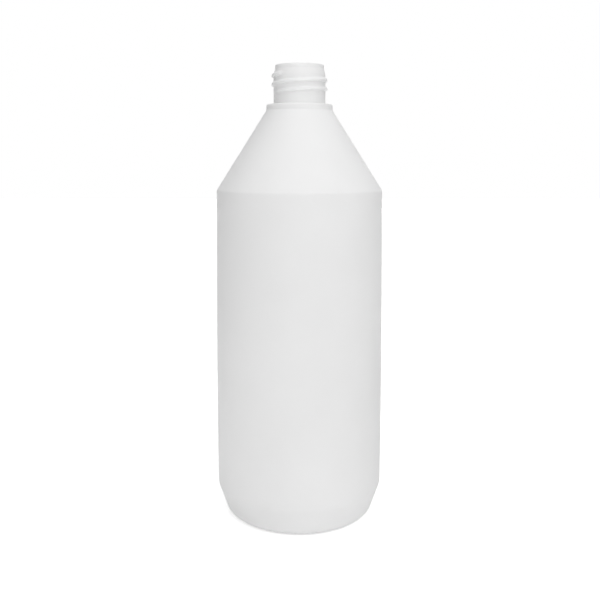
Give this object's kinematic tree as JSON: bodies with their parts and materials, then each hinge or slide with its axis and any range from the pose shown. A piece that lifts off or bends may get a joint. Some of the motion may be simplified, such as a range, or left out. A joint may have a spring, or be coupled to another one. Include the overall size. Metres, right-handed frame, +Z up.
{
  "type": "plastic bottle",
  "caption": "Round blow-moulded bottle with a straight body, a conical shoulder and an open screw-thread neck above a plain collar.",
  "frame": {"origin": "centre of the base, on the plane of the standing ring", "axes": "+Z up along the bottle's axis towards the mouth, -Y towards the front, X along the plane of the mould's parting line"},
  "size_m": [0.0846, 0.0846, 0.2275],
  "materials": {
    "white_polyethylene": "satin white, slightly translucent high-density polyethylene"
  },
  "bodies": {
    "root": {"bottle": "white_polyethylene"}
  },
  "joints": []
}
